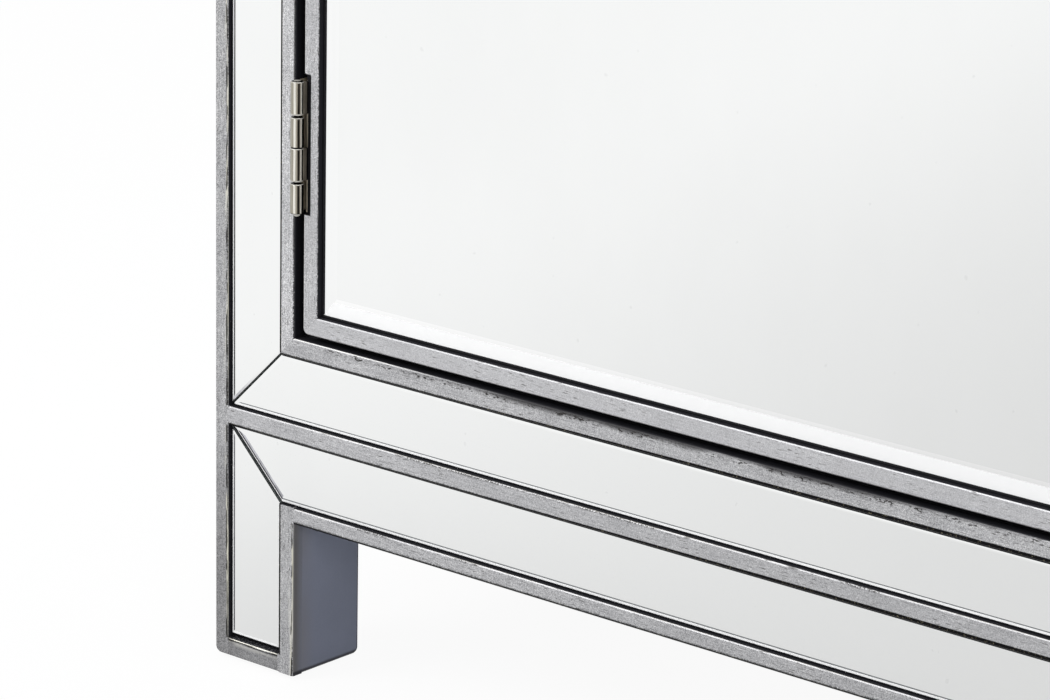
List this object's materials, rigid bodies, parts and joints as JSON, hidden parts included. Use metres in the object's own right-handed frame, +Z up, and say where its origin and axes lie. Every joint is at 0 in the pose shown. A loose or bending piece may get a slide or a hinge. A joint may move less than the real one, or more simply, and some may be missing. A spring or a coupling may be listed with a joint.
{
  "type": "armoire",
  "caption": "Mirrored armoire on square legs, with antique silver trim, bevelled mirror doors on butt hinges, a hat shelf and a hanging rod.",
  "frame": {"origin": "on the floor, at the middle of the whole footprint with the knobs included", "axes": "+X to the viewer's right along the front, +Y from the front to the back, +Z up"},
  "size_m": [1.016, 0.5578, 1.829],
  "materials": {
    "silver_paint": "brushed antique silver paint on wood, dark glaze in the corners",
    "mirror_glass": "silvered glass with polished bevels",
    "hinge_metal": "antique nickel plate",
    "knob_metal": "antique nickel plate",
    "zinc_steel": "zinc plate",
    "rod_wood": "brushed silver paint on a turned wooden pole",
    "socket_metal": "satin nickel plate",
    "catch_plastic": "moulded plastic",
    "glide_nylon": "moulded nylon",
    "cabinet_board": "grey paint on board",
    "back_board": "grey-faced hardboard"
  },
  "bodies": {
    "carcass": {"apron_bead": "silver_paint", "apron_mirror": "mirror_glass", "back_panel": "back_board", "bottom_board": "cabinet_board", "crown_bead": "silver_paint", "foot_beads": "silver_paint", "foot_glides": "glide_nylon", "front_bottom_rail": "silver_paint", "front_top_rail": "silver_paint", "hanging_rod": "rod_wood", "hat_shelf": "cabinet_board", "hinge_frame_leaves": "hinge_metal", "hinge_pins": "hinge_metal", "jamb_beads": "silver_paint", "left_front_post": "silver_paint", "left_leg_mirror": "mirror_glass", "left_rear_post": "silver_paint", "left_side_mirror": "mirror_glass", "left_side_panel": "cabinet_board", "left_stile_mirror": "mirror_glass", "leg_beads": "silver_paint", "lintel_bead": "silver_paint", "lintel_mirror": "mirror_glass", "magnetic_catch": "catch_plastic", "outer_beads": "silver_paint", "right_front_post": "silver_paint", "right_leg_mirror": "mirror_glass", "right_rear_post": "silver_paint", "right_side_mirror": "mirror_glass", "right_side_panel": "cabinet_board", "right_stile_mirror": "mirror_glass", "rod_sockets": "socket_metal", "shelf_cleats": "cabinet_board", "sill_bead": "silver_paint", "sill_mirror": "mirror_glass", "top_board": "silver_paint", "top_mirror": "mirror_glass", "waist_bead": "silver_paint"},
    "left_door": {"left_door_hinge_stile": "silver_paint", "left_door_meeting_stile": "silver_paint", "left_door_mirror": "mirror_glass", "left_door_panel": "cabinet_board", "left_door_rails": "silver_paint", "left_hinge_door_leaves": "hinge_metal", "left_knob": "knob_metal", "left_knob_screw": "zinc_steel", "left_strike_plate": "zinc_steel"},
    "right_door": {"right_door_hinge_stile": "silver_paint", "right_door_meeting_stile": "silver_paint", "right_door_mirror": "mirror_glass", "right_door_panel": "cabinet_board", "right_door_rails": "silver_paint", "right_hinge_door_leaves": "hinge_metal", "right_knob": "knob_metal", "right_knob_screw": "zinc_steel", "right_strike_plate": "zinc_steel"}
  },
  "joints": [
    {"name": "left_door_swing", "type": "hinge", "parent": "carcass", "child": "left_door", "pos_m": [-0.45665, -0.2555, 0.9], "axis": [0, 0, -1], "range_deg": [0, 170]},
    {"name": "right_door_swing", "type": "hinge", "parent": "carcass", "child": "right_door", "pos_m": [0.45665, -0.2555, 0.9], "axis": [0, 0, 1], "range_deg": [0, 170]}
  ]
}
